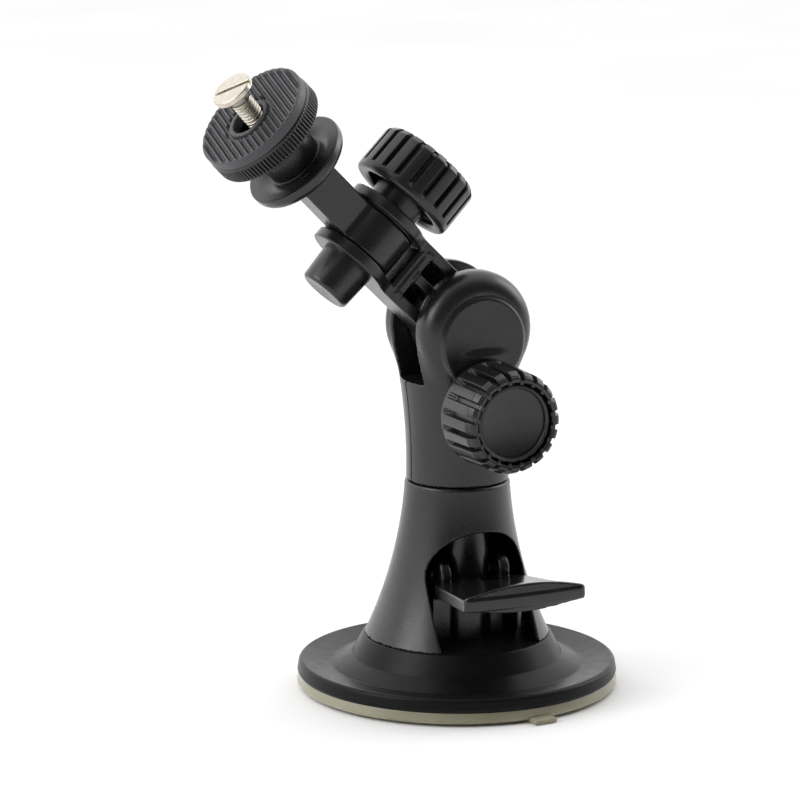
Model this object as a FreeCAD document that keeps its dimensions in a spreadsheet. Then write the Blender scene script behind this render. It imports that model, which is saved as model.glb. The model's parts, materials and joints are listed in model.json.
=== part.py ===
"""Suction mount for a small in-car camera: a lever-locked suction base, a swivelling neck that
clamps an H-section arm, and a tilting head with a knurled ring and a slotted camera screw.

Millimetres, +Z up. The origin is the centre of the suction pad's underside. The neck's clamp
knob and the locking lever point to -Y, and the arm leans towards -X.
"""
import FreeCAD, Part
import math
import os
import re
import Sketcher

V = FreeCAD.Vector
X_AXIS, Y_AXIS, Z_AXIS = V(1, 0, 0), V(0, 1, 0), V(0, 0, 1)

DIMENSIONS = [
    # suction base
    ("pad_radius", 35.5), ("pad_height", 2.9), ("pad_rim", 1.2), ("pad_well_radius", 12.5),
    ("pad_well_floor", 1.3), ("tab_width", 5.5), ("tab_reach", 38.2), ("tab_height", 1.3),
    ("tab_angle", 4), ("plate_radius", 35), ("plate_top", 6), ("plate_wall", 2),
    ("plate_bevel", 0.8), ("dome_radius", 28), ("dome_top", 12),
    ("tower_foot_radius", 20.5), ("tower_waist_radius", 11.6), ("tower_top", 46.9),
    ("tower_flare", 98), ("tower_wall", 2), ("roof_thickness", 2.6),
    ("window_half_width", 11.9), ("window_top", 37), ("window_corner", 11),
    ("boss_circle", 14.8), ("boss_radius", 2.9), ("boss_height", 6),
    ("screw_radius", 1.3), ("screw_head_radius", 2.5), ("screw_head_height", 1.6),
    # pull stem and locking lever
    ("stem_radius", 3), ("stem_clearance", 0.08), ("stem_flange_radius", 11.5),
    ("stem_flange_bottom", 3), ("stem_flange_height", 1.6), ("lug_half_width", 3),
    ("lug_half_depth", 3.4), ("lever_pin_setback", 3.2), ("lever_pin_height", 26.7),
    ("lever_pin_radius", 1.5), ("lever_pin_half_length", 8.7), ("guide_radius", 5.5),
    ("guide_inside", 3.6), ("guide_top", 39.9), ("cam_radius", 4.5), ("cam_offset", 2.2),
    ("cam_inner", 5.8), ("cam_outer", 8.6), ("cam_gap", 0.3), ("lever_thickness", 2.8),
    ("lever_drop", 2.65), ("lever_rise", 5.5), ("lever_root_half_width", 10.6),
    ("lever_tip_half_width", 14.7), ("ledge_reach", 2.7), ("lever_reach", 30.6),
    ("lever_root", 6.6), ("lever_slot_end", 15.3), ("lever_bow", 95), ("lip_half_height", 1.7),
    ("lip_depth", 3),
    ("body_gap", 0.25), ("running_gap", 0.05),
    # neck
    ("neck_foot_radius", 11.35), ("neck_top_radius", 13.3), ("neck_shoulder", 73),
    ("neck_flare", 127), ("pivot_height", 81.5), ("lobe_radius", 13.3),
    ("lobe_half_depth", 12.4), ("lobe_round", 4.5), ("slot_half_width", 5.8),
    ("slot_floor", 69.9), ("badge_radius", 10.1), ("badge_seat_radius", 6.6),
    ("badge_depth", 12.9), ("badge_drop", 1.9), ("knob_height", 64.5), ("bolt_radius", 2.5),
    ("bolt_head_radius", 4.4), ("bolt_head_height", 3.5), ("bolt_head_depth", 7),
    ("pin_half_length", 9.8), ("friction_radius", 8.4), ("friction_thickness", 0.5),
    ("swivel_radius", 2), ("swivel_head_radius", 3.5), ("swivel_head_height", 2),
    ("swivel_washer_radius", 6), ("washer_thickness", 0.9), ("swivel_top", 57),
    ("nut_radius", 4), ("nut_height", 3.2),
    ("neck_bore_radius", 7.2), ("neck_bore_bottom", 50.2), ("neck_bore_top", 58.5),
    ("shell_screw_offset", 7.2), ("shell_screw_low", 60.5),
    ("shell_screw_length", 14),
    # clamp knob
    ("clamp_radius", 11), ("clamp_back", 14.6), ("clamp_face", 27.3), ("clamp_hub_radius", 6),
    ("clamp_hub_back", 13.2), ("flute_count", 20), ("flute_width", 1.3), ("flute_depth", 1.2),
    ("clamp_round", 1), ("cap_radius", 8.3), ("cap_lip", 0.6), ("cap_dish", 1.1),
    ("cap_thickness", 2.4), ("insert_radius", 4), ("insert_back", 15.5), ("insert_front", 22.5),
    ("clamp_bolt_end", 23.5),
    # arm
    ("arm_lean", 45.7), ("arm_length", 30.1), ("knuckle_radius", 9.4), ("knuckle_half_width", 5),
    ("plate_inner", 4.9), ("plate_outer", 7.4), ("link_half_width", 5), ("ear_radius", 9.3),
    ("wall_low", 17.2), ("wall_high", 21.1), ("web_half_thickness", 1.1),
    ("nut_boss_radius", 5.2), ("nut_boss_end", 15.2), ("nut_pocket", 9.6),
    ("head_washer_thickness", 0.3),
    # head knob
    ("head_knob_radius", 11.4), ("head_knob_back", 11.1), ("head_knob_face", 21.6),
    ("collar_radius", 5.5), ("collar_back", 7.65), ("knob_recess", 1.4),
    ("knob_recess_radius", 9.4), ("head_bolt_radius", 2.5), ("head_bolt_start", 14.2),
    ("head_bolt_end", 17),
    # head
    ("head_tilt", 6), ("barrel_radius", 8.2), ("barrel_half_width", 4.4),
    ("tongue_half_depth", 4), ("flange_radius", 11.8), ("flange_low", 24.9),
    ("flange_high", 26.9), ("flange_cone", 3), ("post_radius", 6.2), ("post_top", 39),
    ("post_bore", 4.7), ("post_floor", 27.6), ("ring_radius", 12.4), ("ring_low", 35.2),
    ("ring_high", 39.2), ("knurl_count", 48), ("knurl_depth", 0.5), ("knurl_width", 0.8),
    ("seat_radius", 13), ("seat_high", 41.7), ("seat_hole", 4.3), ("rib_count", 12),
    ("rib_pitch", 2), ("rib_groove", 0.9), ("rib_depth", 0.6), ("rib_turn", -15.7),
    ("camera_screw_offset", 0.4),
    ("camera_screw_tilt", 4), ("camera_screw_radius", 2.4), ("camera_screw_below", 10.5),
    ("camera_screw_above", 6.3), ("camera_head_radius", 4.6), ("camera_head_height", 1.4),
    ("camera_slot_width", 0.9), ("camera_slot_depth", 0.8), ("camera_slot_turn", -47),
    ("camera_nut_radius", 4), ("camera_nut_low", 10), ("camera_nut_height", 2.6),
]

doc = FreeCAD.newDocument("suction_mount")
sheet = doc.addObject("Spreadsheet::Sheet", "Dims")
for row, (word, number) in enumerate(DIMENSIONS, 1):
    sheet.set(f"A{row}", word)
    sheet.set(f"B{row}", str(number))
    sheet.setAlias(f"B{row}", word)
doc.recompute()

SUBPARTS = []


# ---------------------------------------------------------------- helpers
def cells(text):
    """Write the sheet's name before every dimension word in an expression."""
    return re.sub(r"[a-z][a-z_]+", lambda word: "Dims." + word.group(0), str(text))


def value(text):
    """The present value of an expression of dimension words."""
    return float(sheet.evalExpression(cells(text)))


def bind(thing, **sizes):
    for name, text in sizes.items():
        thing.setExpression(name, cells(text))


def place(thing, x="0", y="0", z="0", rotation=None):
    """Bind the thing's position to the sheet, with a fixed rotation."""
    thing.Placement = FreeCAD.Placement(V(value(x), value(y), value(z)),
                                        rotation or FreeCAD.Rotation())
    for axis, text in zip("xyz", (x, y, z)):
        thing.setExpression(f"Placement.Base.{axis}", cells(text))
    return thing


ALONG = {"X": FreeCAD.Rotation(Y_AXIS, 90), "Y": FreeCAD.Rotation(X_AXIS, -90),
         "Z": FreeCAD.Rotation()}


def cylinder(radius, start, end, along="Z", x="0", y="0", z="0"):
    """A round bar from start to end along an axis; the other two words place it."""
    bar = doc.addObject("Part::Cylinder", "Bar")
    bind(bar, Radius=radius, Height=f"({end}) - ({start})")
    base = {"X": (start, y, z), "Y": (x, start, z), "Z": (x, y, start)}[along]
    return place(bar, *base, rotation=ALONG[along])


def hexagon(radius, start, end, along="Z", x="0", y="0", z="0"):
    prism = doc.addObject("Part::Prism", "Hexagon")
    prism.Polygon = 6
    bind(prism, Circumradius=radius, Height=f"({end}) - ({start})")
    base = {"X": (start, y, z), "Y": (x, start, z), "Z": (x, y, start)}[along]
    return place(prism, *base, rotation=ALONG[along])


def block(x, y, z):
    """A box between pairs of expressions, one pair for each axis."""
    box = doc.addObject("Part::Box", "Block")
    bind(box, Length=f"({x[1]}) - ({x[0]})", Width=f"({y[1]}) - ({y[0]})",
         Height=f"({z[1]}) - ({z[0]})")
    return place(box, x[0], y[0], z[0])


def both_sides(half):
    return (f"-({half})", half)


def fuse(*things):
    if len(things) == 1:
        return things[0]
    joined = doc.addObject("Part::MultiFuse", "Joined")
    joined.Shapes = list(things)
    joined.Refine = True
    return joined


def cut(base, *tools):
    result = doc.addObject("Part::Cut", "Trimmed")
    result.Base = base
    result.Tool = fuse(*tools)
    result.Refine = True
    return result


def common(first, second):
    result = doc.addObject("Part::Common", "Shared")
    result.Base = first
    result.Tool = second
    result.Refine = True
    return result


def outline(sketch, points):
    """A closed outline whose corners are bound to the sheet. A corner with a third entry starts
    an arc of that radius, which bows to the left of its run when the radius is negative."""
    corners = [V(value(point[0]), value(point[1]), 0) for point in points]
    count = len(points)
    for index, point in enumerate(points):
        start, end = corners[index], corners[(index + 1) % count]
        if len(point) < 3:
            sketch.addGeometry(Part.LineSegment(start, end), False)
            continue
        radius = value(point[2])
        run = end - start
        side = V(run.y, -run.x, 0).normalize() * math.copysign(1, radius)
        sag = abs(radius) - math.sqrt(radius ** 2 - run.Length ** 2 / 4)
        middle = (start + end) * 0.5 + side * sag
        sketch.addGeometry(Part.Arc(start, middle, end), False)
    first = [corner_end(sketch, index, corners[index]) for index in range(count)]
    for index in range(count):
        after = (index + 1) % count
        sketch.addConstraint(Sketcher.Constraint("Coincident", index, 3 - first[index],
                                                 after, first[after]))
    for index, point in enumerate(points):
        for kind, text in zip(("DistanceX", "DistanceY"), point[:2]):
            pin_corner(sketch, kind, index, first[index], text)
        if len(point) == 3:
            number = sketch.addConstraint(Sketcher.Constraint("Radius", index,
                                                              abs(value(point[2]))))
            sketch.setExpression(f"Constraints[{number}]", cells(f"abs({point[2]})")
                                 .replace("Dims.abs", "abs"))


def corner_end(sketch, index, corner):
    """Which end of a segment, 1 or 2, lies on the corner: an arc may run either way."""
    return 1 if sketch.getPoint(index, 1).distanceToPoint(corner) < 1e-6 else 2


def pin_corner(sketch, kind, index, end, text):
    """Hold one coordinate of a corner: on the axis when it is zero, else at its expression."""
    if abs(value(text)) < 1e-9:
        axis = -2 if kind == "DistanceX" else -1
        sketch.addConstraint(Sketcher.Constraint("PointOnObject", index, end, axis))
        return
    number = sketch.addConstraint(Sketcher.Constraint(kind, -1, 1, index, end, value(text)))
    sketch.setExpression(f"Constraints[{number}]", cells(text))


def origin_feature(body, role):
    return next(item for item in body.Origin.OriginFeatures if item.Role == role)


def sketch_on(body, role, points):
    sketch = body.newObject("Sketcher::SketchObject", "Outline")
    sketch.AttachmentSupport = (origin_feature(body, role), [""])
    sketch.MapMode = "FlatFace"
    doc.recompute()
    outline(sketch, points)
    doc.recompute()
    return sketch


def turned(points):
    """A body turned about its Z axis from an outline of (radius, height) corners."""
    body = doc.addObject("PartDesign::Body", "Turned")
    sketch = sketch_on(body, "XZ_Plane", points)
    revolution = body.newObject("PartDesign::Revolution", "Revolution")
    revolution.Profile = sketch
    revolution.ReferenceAxis = (sketch, ["V_Axis"])
    revolution.Angle = 360
    body.Tip = revolution
    doc.recompute()
    return body


def padded(role, points, length):
    """A body padded both ways from an outline on one of its origin planes."""
    body = doc.addObject("PartDesign::Body", "Padded")
    sketch = sketch_on(body, role, points)
    pad = body.newObject("PartDesign::Pad", "Pad")
    pad.Profile = sketch
    pad.Midplane = True
    pad.setExpression("Length", cells(length))
    body.Tip = pad
    doc.recompute()
    return body


def pocket(body, role, points):
    """Cut an outline right through a body, and check that it removed material."""
    before = body.Shape.Volume
    feature = body.newObject("PartDesign::Pocket", "Pocket")
    feature.Profile = sketch_on(body, role, points)
    feature.Type = "ThroughAll"
    feature.Midplane = True
    body.Tip = feature
    doc.recompute()
    if not body.Shape.Volume < before:
        raise RuntimeError("a pocket cut nothing")
    return feature


def round_pattern(body, feature, count):
    pattern = body.newObject("PartDesign::PolarPattern", "Round")
    pattern.Originals = [feature]
    pattern.Axis = (origin_feature(body, "Z_Axis"), [""])
    pattern.Angle = 360
    pattern.setExpression("Occurrences", cells(count))
    body.Tip = pattern
    doc.recompute()


def row_pattern(body, feature, count, pitch):
    pattern = body.newObject("PartDesign::LinearPattern", "Row")
    pattern.Originals = [feature]
    pattern.Direction = (origin_feature(body, "X_Axis"), [""])
    pattern.setExpression("Occurrences", cells(count))
    pattern.setExpression("Length", cells(f"({count} - 1) * {pitch}"))
    body.Tip = pattern
    doc.recompute()


def rectangle(x, y):
    return [(x[0], y[0]), (x[1], y[0]), (x[1], y[1]), (x[0], y[1])]


def subpart(label, thing, frame=None):
    """Name a finished piece and stand it in its frame."""
    thing.Label = label
    if frame is not None:
        thing.Placement = frame * thing.Placement
    SUBPARTS.append(thing)


def about_z(angle):
    return FreeCAD.Placement(V(), FreeCAD.Rotation(Z_AXIS, value(angle)))


# ---------------------------------------------------------------- frames of the leaning pieces
KNOB_FRAME = FreeCAD.Placement(V(0, 0, value("knob_height")), FreeCAD.Rotation(X_AXIS, 90))
ARM_FRAME = FreeCAD.Placement(V(0, 0, value("pivot_height")),
                              FreeCAD.Rotation(Y_AXIS, -value("arm_lean")))
LEVER_FRAME = FreeCAD.Placement(V(0, -value("lever_pin_setback"), value("lever_pin_height")),
                                FreeCAD.Rotation(X_AXIS, -value("lever_rise")))
HEAD_FRAME = ARM_FRAME * FreeCAD.Placement(V(0, 0, value("arm_length")),
                                           FreeCAD.Rotation(X_AXIS, value("head_tilt")))
HEAD_KNOB_FRAME = ARM_FRAME * FreeCAD.Placement(V(0, 0, value("arm_length")),
                                                FreeCAD.Rotation(Y_AXIS, 90))
SCREW_FRAME = HEAD_FRAME * FreeCAD.Placement(
    V(value("camera_screw_offset"), 0, value("seat_high")),
    FreeCAD.Rotation(Y_AXIS, value("camera_screw_tilt")))


# ---------------------------------------------------------------- suction base
def suction_pad():
    disc = turned([("0", "0"), ("pad_radius - pad_rim", "0"),
                   ("pad_radius", "pad_rim", "pad_rim * 1.1"),
                   ("pad_radius - pad_rim", "pad_height"),
                   ("pad_well_radius", "pad_height"), ("pad_well_radius", "pad_well_floor"),
                   ("0", "pad_well_floor")])
    tab = block(both_sides("tab_width / 2"), ("-tab_reach", "-pad_radius + pad_rim * 2"),
                ("0", "tab_height"))
    tab.Placement = about_z("tab_angle") * tab.Placement
    subpart("suction_pad", fuse(disc, tab))


def base_plate():
    plate = turned([("plate_radius - plate_bevel", "pad_height"), ("plate_radius", "pad_height + 1"),
                    ("plate_radius", "plate_top - plate_bevel"),
                    ("plate_radius - plate_bevel", "plate_top"), ("dome_radius", "plate_top"),
                    ("tower_foot_radius", "dome_top"),
                    ("stem_radius + stem_clearance", "dome_top"),
                    ("stem_radius + stem_clearance", "dome_top - plate_wall"),
                    ("tower_foot_radius - plate_wall / 2", "dome_top - plate_wall"),
                    ("dome_radius - plate_wall / 2", "plate_top - plate_wall"),
                    ("plate_radius - plate_wall * 2", "plate_top - plate_wall"),
                    ("plate_radius - plate_wall * 2", "pad_height")])
    holes = [cylinder("screw_radius", "dome_top - plate_wall - 1", "dome_top + 1", x=x, y=y)
             for x, y in boss_places()]
    subpart("base_plate", cut(plate, *holes))


def boss_places():
    """The three screw bosses: one behind the stem and one at each side."""
    half, back = "boss_circle * 0.98", "-boss_circle * 0.17"
    return [("0", "boss_circle"), (half, back), (f"-{half}", back)]


def flared_wall(foot, waist, low, high):
    """A solid of revolution whose side is the tower's concave flare."""
    return turned([("0", low), (foot, low, "-tower_flare"), (waist, high), ("0", high)])


def window():
    """The arched opening that the lever swings in."""
    half, top, corner = "window_half_width", "window_top", "window_corner"
    arch = padded("XZ_Plane", [(f"-{half}", "dome_top - 1"), (half, "dome_top - 1"),
                               (half, f"{top} - {corner}", corner),
                               (f"{half} - {corner}", top), (f"{corner} - {half}", top, corner),
                               (f"-{half}", f"{top} - {corner}")], "tower_foot_radius * 2")
    return place(arch, "0", "-tower_foot_radius", "0")


def tower_shell():
    outside = flared_wall("tower_foot_radius", "tower_waist_radius", "dome_top", "tower_top")
    inside = flared_wall("tower_foot_radius - tower_wall", "tower_waist_radius - tower_wall",
                         "dome_top", "tower_top - roof_thickness")
    bore = cylinder("swivel_radius + running_gap", "tower_top - roof_thickness - 1",
                    "tower_top + 1")
    shell = cut(outside, inside, window(), bore)
    bosses = [cylinder("boss_radius", "dome_top", "dome_top + boss_height", x=x, y=y)
              for x, y in boss_places()]
    pilots = [cylinder("screw_radius", "dome_top - 1", "dome_top + boss_height - 1", x=x, y=y)
              for x, y in boss_places()]
    trimmed = common(fuse(*bosses), flared_wall("tower_foot_radius - 1", "tower_waist_radius - 1",
                                                "dome_top", "tower_top"))
    subpart("tower_shell", cut(fuse(shell, trimmed), *pilots))


def tower_screws():
    under = "dome_top - plate_wall"
    screws = [fuse(cylinder("screw_head_radius", f"{under} - screw_head_height", under, x=x, y=y),
                   cylinder("screw_radius", under, "dome_top + boss_height - 1.5", x=x, y=y))
              for x, y in boss_places()]
    subpart("tower_screws", fuse(*screws))


def stem_guide():
    """The column round the stem, with a ledge each side for the lever's cams to press on."""
    front = "-lever_pin_setback"
    column = fuse(cylinder("guide_radius", "dome_top", "guide_top", y=front),
                  block(both_sides("guide_radius"), (front, "guide_radius"),
                        ("dome_top", "guide_top")))
    ledge_top = "lever_pin_height - cam_radius - cam_gap"
    ledges = block(both_sides("cam_outer + 0.4"), ("-lever_pin_setback - ledge_reach", "2"),
                   ("dome_top", ledge_top))
    inside = block(both_sides("guide_inside"), ("-lever_pin_setback - guide_inside - 0.2",
                                                "guide_inside"), ("dome_top - 1", "guide_top + 1"))
    slot = block(both_sides("guide_radius + 1"),
                 ("-lever_pin_setback - lever_pin_radius - body_gap",
                  "-lever_pin_setback + lever_pin_radius + body_gap"),
                 ("lever_pin_height - 3.2", "lever_pin_height + 3.2"))
    subpart("stem_guide", cut(fuse(column, ledges), inside, slot))


# ---------------------------------------------------------------- pull stem
def pull_stem():
    flange_top = "stem_flange_bottom + stem_flange_height"
    rod = fuse(cylinder("stem_flange_radius", "stem_flange_bottom", flange_top),
               cylinder("stem_radius", flange_top, "lever_pin_height - 3"),
               block(both_sides("lug_half_width"),
                     ("-lever_pin_setback - lug_half_depth", "stem_radius"),
                     ("lever_pin_height - 5", "lever_pin_height + 4")))
    hole = cylinder("lever_pin_radius", "-lug_half_width - 1", "lug_half_width + 1", "X",
                    y="-lever_pin_setback", z="lever_pin_height")
    subpart("pull_stem", cut(rod, hole))


def lever_pin():
    subpart("lever_pin", cylinder("lever_pin_radius", "-lever_pin_half_length",
                                  "lever_pin_half_length", "X",
                                  y="-lever_pin_setback", z="lever_pin_height"))


# ---------------------------------------------------------------- locking lever
def paddle_slab(thickness):
    """The paddle's outline in plan, of the given thickness."""
    root, tip = "lever_root_half_width", "lever_tip_half_width"
    slab = padded("XY_Plane", [
        (f"-{root}", "-lever_root"), (f"-{tip}", "2 - lever_reach"),
        (f"1 - {tip}", "0.6 - lever_reach", "lever_bow"), (f"{tip} - 1", "0.6 - lever_reach"),
        (tip, "2 - lever_reach"), (root, "-lever_root"), (root, "0.01"), (f"-{root}", "0.01")],
        thickness)
    return place(slab, "0", "0", "-lever_drop")


def cam_lever():
    """A wide paddle with a lens-shaped lip, on two cams, slotted at its root to straddle the
    guide column. Its own frame has the pin as its X axis and the paddle along -Y."""
    paddle = paddle_slab("lever_thickness")
    tip, rise = "lever_tip_half_width", "lip_half_height"
    lens = padded("XZ_Plane", [(f"-{tip}", f"-{rise}", "lever_bow"), (tip, f"-{rise}"),
                               (tip, rise, "lever_bow"), (f"-{tip}", rise)], "lip_depth * 2")
    place(lens, "0", "-lever_reach", "-lever_drop")
    lip = common(paddle_slab("lip_half_height * 6"), lens)
    cams = [cylinder("cam_radius", start, end, "X", y="-cam_offset")
            for start, end in (("cam_inner", "cam_outer"), ("-cam_outer", "-cam_inner"))]
    slot = block(both_sides("cam_inner"), ("lever_root - lever_slot_end", "lever_reach"),
                 both_sides("cam_radius * 2"))
    beside = [block(x, ("-lever_root", "lever_reach"), both_sides("cam_radius * 2"))
              for x in (("cam_outer", "lever_reach"), ("-lever_reach", "-cam_outer"))]
    bore = cylinder("lever_pin_radius + running_gap", "-cam_outer - 1", "cam_outer + 1", "X")
    subpart("cam_lever", cut(fuse(cut(paddle, *beside), lip, *cams), slot, bore), LEVER_FRAME)


# ---------------------------------------------------------------- neck
def neck_blank():
    """The neck as one solid, before it is split into its two shells."""
    foot = "tower_top + body_gap"
    trunk = turned([("0", foot), ("neck_foot_radius", foot, "-neck_flare"),
                    ("neck_top_radius", "neck_shoulder"),
                    ("neck_top_radius", "pivot_height - 4"), ("0", "pivot_height - 4")])
    lobes = turned([("0", "-lobe_half_depth"), ("lobe_radius - lobe_round", "-lobe_half_depth",
                                                "lobe_round * 1.01"),
                    ("lobe_radius", "-lobe_half_depth + lobe_round"),
                    ("lobe_radius", "lobe_half_depth - lobe_round", "lobe_round * 1.01"),
                    ("lobe_radius - lobe_round", "lobe_half_depth"), ("0", "lobe_half_depth")])
    place(lobes, "0", "0", "pivot_height", rotation=FreeCAD.Rotation(X_AXIS, 90))
    badge = fuse(cylinder("badge_radius", "-badge_depth", "0", "Y", z="pivot_height - badge_drop"),
                 cylinder("badge_seat_radius", "-badge_depth", "0", "Y", z="knob_height"),
                 block(both_sides("badge_seat_radius"), ("-badge_depth", "0"),
                       ("knob_height", "pivot_height")))
    slot = block(both_sides("lobe_radius * 2"), both_sides("slot_half_width"),
                 ("slot_floor", "pivot_height + lobe_radius * 2"))
    bore = cylinder("neck_bore_radius", "neck_bore_bottom", "neck_bore_top")
    swivel = cylinder("swivel_radius", "tower_top", "neck_bore_bottom + 1")
    bolt = cylinder("bolt_radius", "-badge_depth - 1", "bolt_head_depth + 1", "Y",
                    z="knob_height")
    head = hexagon("bolt_head_radius", "bolt_head_depth", "bolt_head_depth + bolt_head_height",
                   "Y", z="knob_height")
    pin = cylinder("bolt_radius", "-pin_half_length", "pin_half_length", "Y", z="pivot_height")
    wells = [cylinder("screw_head_radius", "shell_screw_length / 2", "lobe_radius", "Y", x=x, z=z)
             for x, z in shell_screw_places()]
    return cut(fuse(trunk, lobes, badge), slot, bore, swivel, bolt, head, pin, *wells,
               *[shell_screw(x, z) for x, z in shell_screw_places()])


def shell_screw_places():
    return [("shell_screw_offset", "shell_screw_low"), ("-shell_screw_offset", "shell_screw_low")]


def shell_screw(x, z):
    """A self-tapping screw along Y, its head sunk in the rear shell."""
    start = "shell_screw_length / 2 - screw_head_height"
    return fuse(cylinder("screw_radius", "-shell_screw_length / 2", start, "Y", x=x, z=z),
                cylinder("screw_head_radius", start, "shell_screw_length / 2", "Y", x=x, z=z))


def neck_shells():
    wide = both_sides("lobe_radius * 2")
    tall = ("0", "pivot_height * 2")
    subpart("neck_front_shell", common(neck_blank(), block(wide, ("-lobe_radius * 2", "0"), tall)))
    subpart("neck_rear_shell", common(neck_blank(), block(wide, ("0", "lobe_radius * 2"), tall)))


def neck_hardware():
    subpart("neck_screws", fuse(*[shell_screw(x, z) for x, z in shell_screw_places()]))
    subpart("knuckle_pin", cylinder("bolt_radius", "-pin_half_length", "pin_half_length", "Y",
                                    z="pivot_height"))
    subpart("clamp_bolt", fuse(
        cylinder("bolt_radius", "-clamp_bolt_end", "bolt_head_depth", "Y", z="knob_height"),
        hexagon("bolt_head_radius", "bolt_head_depth", "bolt_head_depth + bolt_head_height", "Y",
                z="knob_height")))
    rings = []
    for start, end in (("slot_half_width - friction_thickness", "slot_half_width"),
                       ("-slot_half_width", "friction_thickness - slot_half_width")):
        rings.append(cut(cylinder("friction_radius", start, end, "Y", z="pivot_height"),
                         cylinder("bolt_radius", start, end, "Y", z="pivot_height")))
    subpart("friction_washers", fuse(*rings))


def swivel_hardware():
    """The screw that holds the neck on the tower, with its washers and nut."""
    roof = "tower_top - roof_thickness - body_gap"
    washer = f"{roof} - washer_thickness"
    spring = f"{washer} - washer_thickness"
    head = f"{spring} - swivel_head_height"
    subpart("swivel_washer", cut(cylinder("swivel_washer_radius", washer, roof),
                                 cylinder("swivel_radius", washer, roof)))
    subpart("spring_washer", cut(cylinder("swivel_head_radius + 0.4", spring, washer),
                                 cylinder("swivel_radius", spring, washer)))
    subpart("swivel_screw", fuse(cylinder("swivel_head_radius", head, spring),
                                 cylinder("swivel_radius", spring, "swivel_top")))
    nut_top = "neck_bore_bottom + nut_height"
    subpart("swivel_nut", cut(hexagon("nut_radius", "neck_bore_bottom", nut_top),
                              cylinder("swivel_radius", "neck_bore_bottom", nut_top)))


# ---------------------------------------------------------------- fluted knobs
def fluted_knob(points, radius, count):
    """A turned knob with narrow flutes cut all round its rim."""
    body = turned(points)
    flute = pocket(body, "XY_Plane", rectangle((f"{radius} - flute_depth", f"{radius} + 1"),
                                               both_sides("flute_width / 2")))
    round_pattern(body, flute, count)
    return body


def clamp_knob():
    back, face = "clamp_back", "clamp_face"
    bore = "bolt_radius + running_gap"
    pocket_floor = "clamp_face - cap_thickness"
    knob = fluted_knob([(bore, "clamp_hub_back"), ("clamp_hub_radius", "clamp_hub_back"),
                        ("clamp_hub_radius", back), ("clamp_radius", back),
                        ("clamp_radius", f"{face} - clamp_round"),
                        ("clamp_radius - clamp_round", face), ("cap_radius", face),
                        ("cap_radius", pocket_floor), ("insert_radius", pocket_floor),
                        ("insert_radius", "insert_back"), (bore, "insert_back")],
                       "clamp_radius", "flute_count")
    subpart("clamp_knob", knob, KNOB_FRAME)
    insert = turned([(bore, "insert_back"), ("insert_radius", "insert_back"),
                     ("insert_radius", "insert_front"), (bore, "insert_front")])
    subpart("knob_insert", insert, KNOB_FRAME)
    dish = "cap_radius - cap_lip"
    cap = turned([("0", pocket_floor), ("cap_radius", pocket_floor), ("cap_radius", face),
                  (dish, face, f"-(({dish}) ^ 2 + cap_dish ^ 2) / (2 * cap_dish)"),
                  ("0", f"{face} - cap_dish")])
    subpart("knob_cap", cap, KNOB_FRAME)


def head_knob():
    back, face = "head_knob_back", "head_knob_face"
    knob = fluted_knob([("collar_radius", back), ("knob_recess_radius", f"{back} + knob_recess"),
                        ("knob_recess_radius", back), ("head_knob_radius", back),
                        ("head_knob_radius", f"{face} - clamp_round"),
                        ("head_knob_radius - clamp_round", face), ("0", face),
                        ("0", "head_bolt_end"), ("head_bolt_radius", "head_bolt_end"),
                        ("head_bolt_radius", back)], "head_knob_radius", "flute_count")
    anchor = hexagon("bolt_head_radius", "head_bolt_end - bolt_head_height", "head_bolt_end")
    knob = cut(knob, anchor)
    subpart("head_knob", knob, HEAD_KNOB_FRAME)
    collar = turned([("head_bolt_radius", "collar_back"), ("collar_radius", "collar_back"),
                     ("collar_radius", back), ("head_bolt_radius", back)])
    subpart("head_collar", collar, HEAD_KNOB_FRAME)
    bolt = fuse(cylinder("head_bolt_radius", "-head_bolt_start", "head_bolt_end"),
                hexagon("bolt_head_radius", "head_bolt_end - bolt_head_height", "head_bolt_end"))
    subpart("head_bolt", bolt, HEAD_KNOB_FRAME)


# ---------------------------------------------------------------- arm
def arm_link():
    """Twin plates with a cross wall and a web, a knuckle at the foot and two ears at the top."""
    tip = "arm_length"
    knuckle = cylinder("knuckle_radius", "-knuckle_half_width", "knuckle_half_width", "Y")
    sides = []
    for start, end in (("plate_inner", "plate_outer"), ("-plate_outer", "-plate_inner")):
        sides.append(block((start, end), both_sides("link_half_width"), ("0", tip)))
        sides.append(cylinder("ear_radius", start, end, "X", z=tip))
    wall = block(both_sides("plate_outer"), both_sides("link_half_width"),
                 ("wall_low", "wall_high"))
    web = block(both_sides("web_half_thickness"), both_sides("link_half_width"),
                ("knuckle_radius - 2", "wall_low + 1"))
    pin = cylinder("bolt_radius + running_gap", "-link_half_width - 1", "link_half_width + 1", "Y")
    bolt = cylinder("head_bolt_radius + running_gap", "-plate_outer - 1", "plate_outer + 1", "X",
                    z=tip)
    subpart("arm_link", cut(fuse(knuckle, *sides, wall, web), pin, bolt), ARM_FRAME)


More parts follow.
